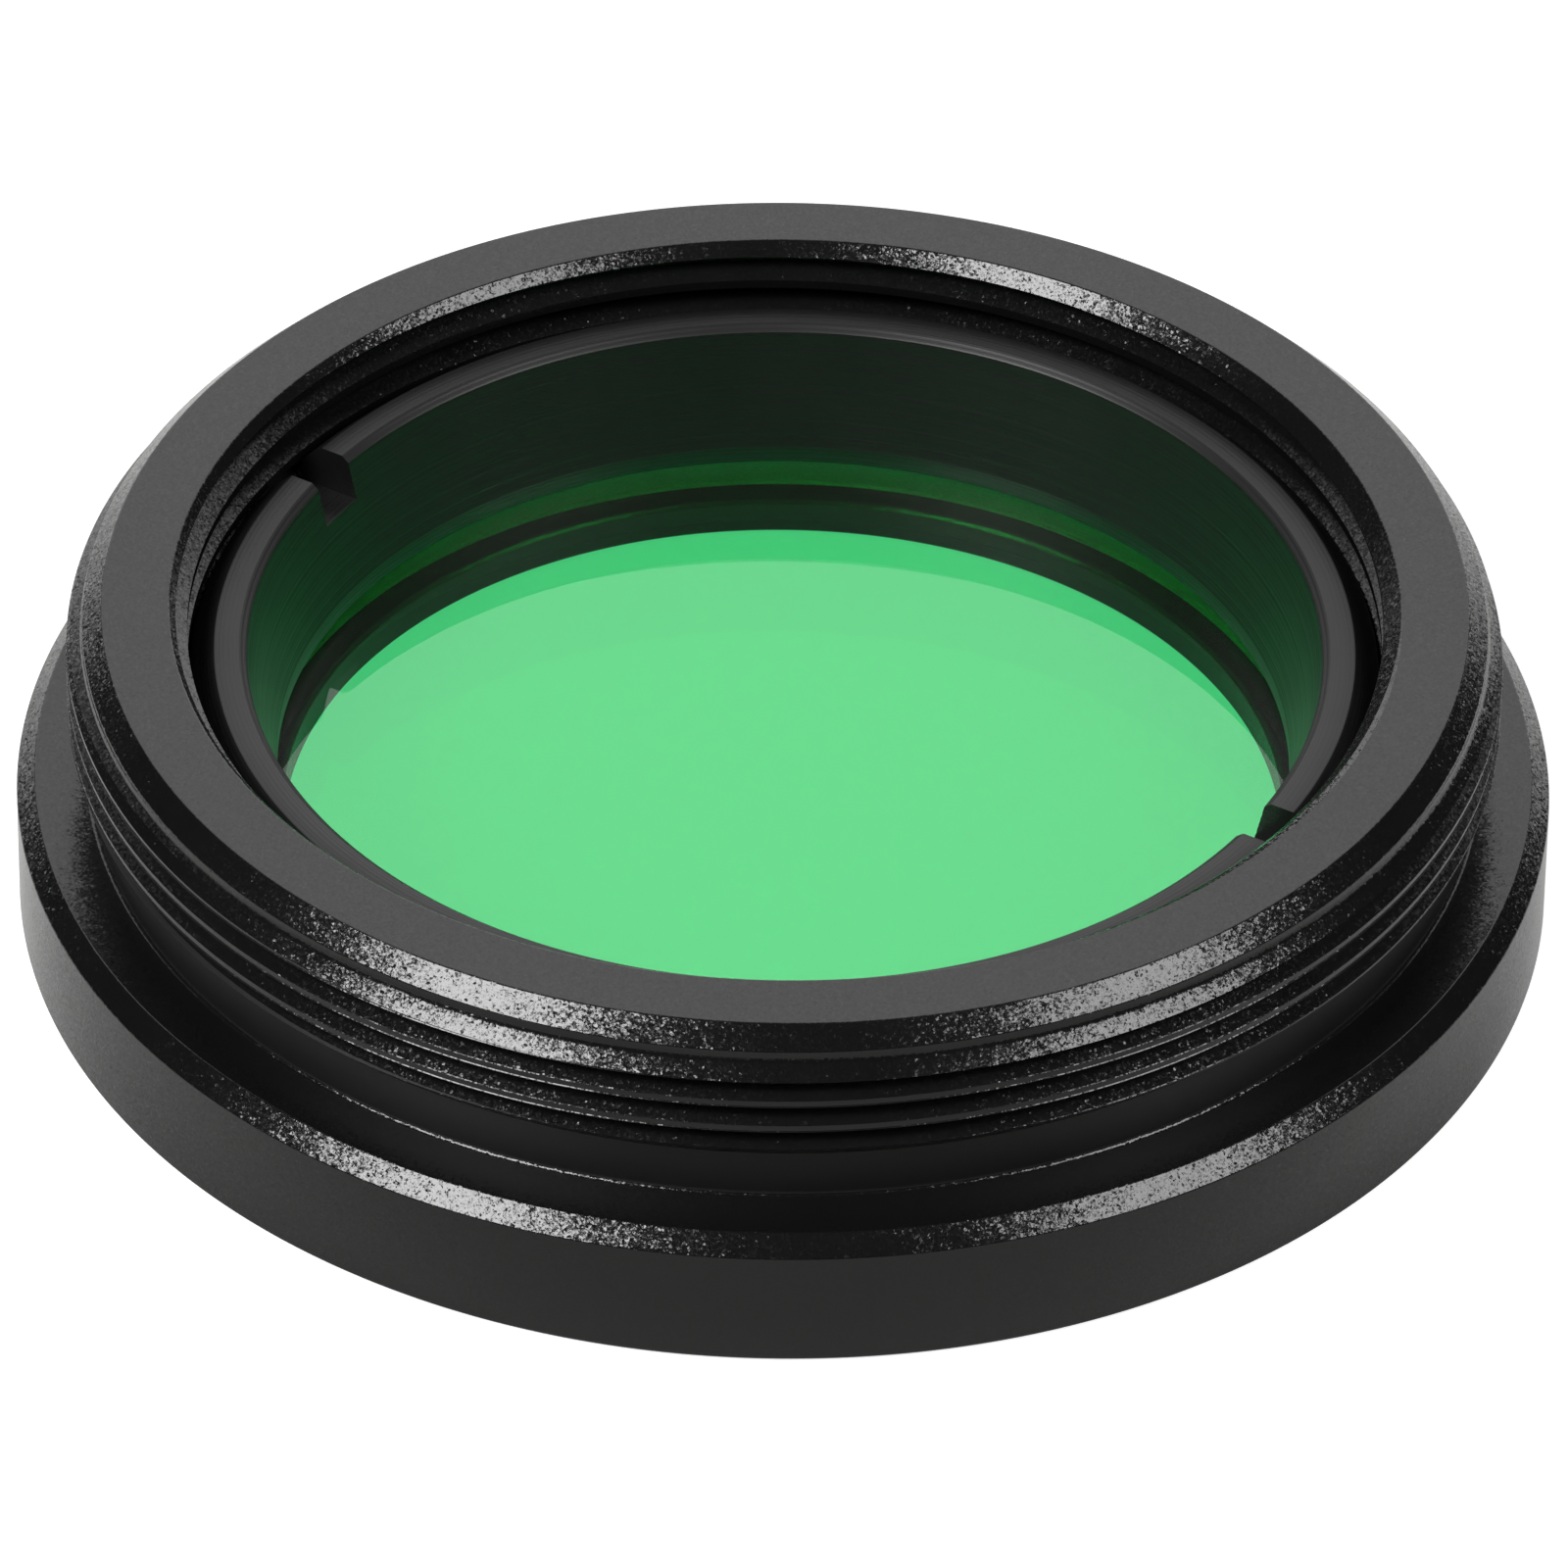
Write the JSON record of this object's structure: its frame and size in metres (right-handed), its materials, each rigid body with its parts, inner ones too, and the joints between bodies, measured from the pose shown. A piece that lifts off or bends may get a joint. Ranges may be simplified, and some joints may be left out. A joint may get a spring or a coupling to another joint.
{
  "type": "telescope filter",
  "caption": "Round green colour filter for a telescope eyepiece: a black turned cell with a threaded spigot and a finger flange, holding a glass disc under a slotted ring.",
  "frame": {"origin": "centre of the flange's flat underside", "axes": "+Z along the optical axis, out of the threaded spigot; the part rests on the flange"},
  "size_m": [0.0306, 0.0306, 0.0069],
  "materials": {
    "black_anodised": "bead blasted and anodised black",
    "green_glass": "polished green filter glass with a ground rim"
  },
  "bodies": {
    "root": {"filter_cell": "black_anodised", "green_glass": "green_glass", "retaining_ring": "black_anodised"}
  },
  "joints": []
}
